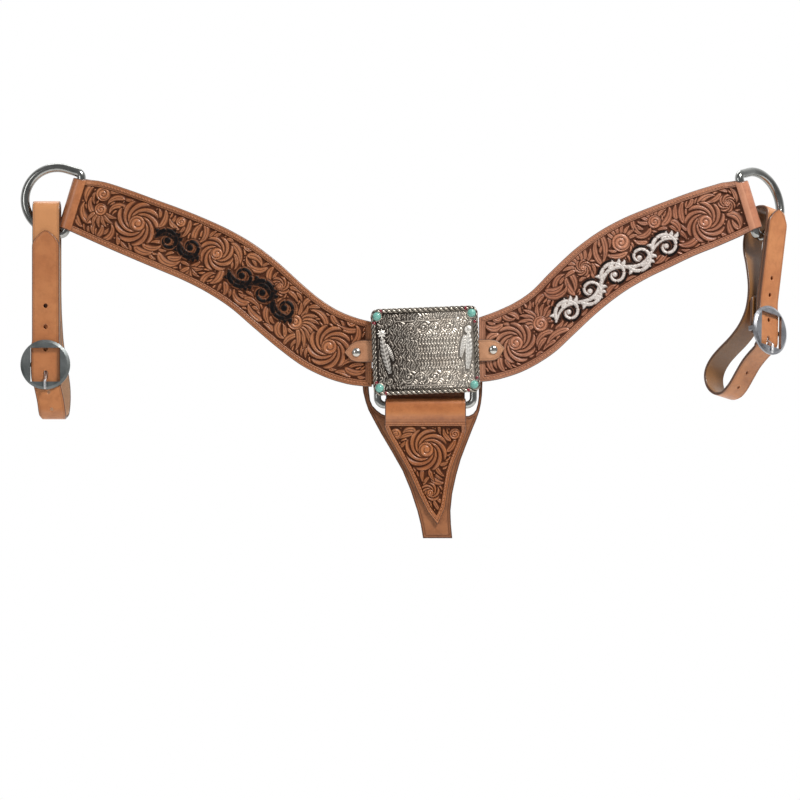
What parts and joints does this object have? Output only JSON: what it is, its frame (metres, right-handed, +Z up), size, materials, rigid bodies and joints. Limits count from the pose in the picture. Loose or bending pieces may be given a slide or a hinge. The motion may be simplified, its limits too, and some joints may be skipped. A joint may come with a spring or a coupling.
{
  "type": "western breastplate",
  "caption": "Western leather breast collar: two tooled shoulder straps on a centre ring with a trophy plate, a tapering drop strap, and a buckled tug on a dee at each end.",
  "frame": {"origin": "middle of the back of the leather safe behind the centre ring, where the collar lies on the chest", "axes": "+X along the collar to the right as seen from the front, +Y from the collar towards the horse, +Z up the chest"},
  "size_m": [0.7304, 0.0708, 0.357],
  "materials": {
    "tooled_leather": "hand-tooled, oiled russet leather with dark antiqued recesses",
    "lining_leather": "smooth oiled leather, pale flesh side",
    "plain_leather": "smooth russet strap leather with burnished edges",
    "antique_silver": "antiqued silver with dark recesses",
    "polished_steel": "polished",
    "plated_screws": "polished, slightly worn",
    "turquoise": "polished stone",
    "garnet": "polished stone"
  },
  "bodies": {
    "root": {"centre_ring": "polished_steel", "trophy_plate": "antique_silver", "plate_rope_edge": "antique_silver", "plate_turquoise_beads": "turquoise", "plate_garnet_beads": "garnet", "plate_plumes": "antique_silver", "plate_banners": "antique_silver", "plate_clips": "plated_screws", "plate_clip_screws": "plated_screws", "ring_safe": "lining_leather"},
    "drop_strap": {"drop_face": "tooled_leather", "drop_lining": "lining_leather"},
    "left_shoulder": {"left_shoulder_face": "tooled_leather", "left_shoulder_lining": "lining_leather", "left_tab": "plain_leather", "left_tab_screw": "plated_screws", "left_tab_post": "plated_screws"},
    "left_dee": {"left_dee": "polished_steel"},
    "left_tug": {"left_tug_strap": "plain_leather", "left_tug_screw": "plated_screws", "left_tug_screw_post": "plated_screws", "left_tug_buckle_frame": "polished_steel"},
    "left_tongue": {"left_tug_buckle_tongue": "polished_steel"},
    "right_shoulder": {"right_shoulder_face": "tooled_leather", "right_shoulder_lining": "lining_leather", "right_tab": "plain_leather", "right_tab_screw": "plated_screws", "right_tab_post": "plated_screws"},
    "right_dee": {"right_dee": "polished_steel"},
    "right_tug": {"right_tug_strap": "plain_leather", "right_tug_screw": "plated_screws", "right_tug_screw_post": "plated_screws", "right_tug_buckle_frame": "polished_steel"},
    "right_tongue": {"right_tug_buckle_tongue": "polished_steel"}
  },
  "joints": [
    {"name": "left_shoulder_hinge", "type": "hinge", "parent": "root", "child": "left_shoulder", "pos_m": [-0.0456, -0.009, 0], "axis": [0, 0, 1], "range_deg": [-12, 10]},
    {"name": "right_shoulder_hinge", "type": "hinge", "parent": "root", "child": "right_shoulder", "pos_m": [0.0456, -0.009, 0], "axis": [0, 0, 1], "range_deg": [-10, 12]},
    {"name": "drop_hinge", "type": "hinge", "parent": "root", "child": "drop_strap", "pos_m": [0, -0.009, -0.0513], "axis": [1, 0, 0], "range_deg": [-40, 30]},
    {"name": "left_dee_hinge", "type": "hinge", "parent": "left_shoulder", "child": "left_dee", "pos_m": [-0.3348, -0.009, 0.1391], "axis": [0.2924, 0, 0.9563], "range_deg": [-55, 55]},
    {"name": "left_tug_hinge", "type": "hinge", "parent": "left_dee", "child": "left_tug", "pos_m": [-0.36, -0.009, 0.1172], "axis": [1, 0, 0], "range_deg": [-16, 16]},
    {"name": "left_tongue_hinge", "type": "hinge", "parent": "left_tug", "child": "left_tongue", "pos_m": [-0.36, -0.0137, -0.0131], "axis": [1, 0, 0], "range_deg": [-5, 0]},
    {"name": "right_dee_hinge", "type": "hinge", "parent": "right_shoulder", "child": "right_dee", "pos_m": [0.3062, -0.009, 0.1379], "axis": [-0.2924, 0, 0.9563], "range_deg": [-60, 17]},
    {"name": "right_tug_hinge", "type": "hinge", "parent": "right_dee", "child": "right_tug", "pos_m": [0.32634, 0.00191, 0.11206], "axis": [0.7269, 0.6545, -0.2079], "range_deg": [-12, 12]},
    {"name": "right_tongue_hinge", "type": "hinge", "parent": "right_tug", "child": "right_tongue", "pos_m": [0.31923, -0.02009, 0.01796], "axis": [0.7269, 0.6545, -0.2079], "range_deg": [-5, 0]}
  ]
}
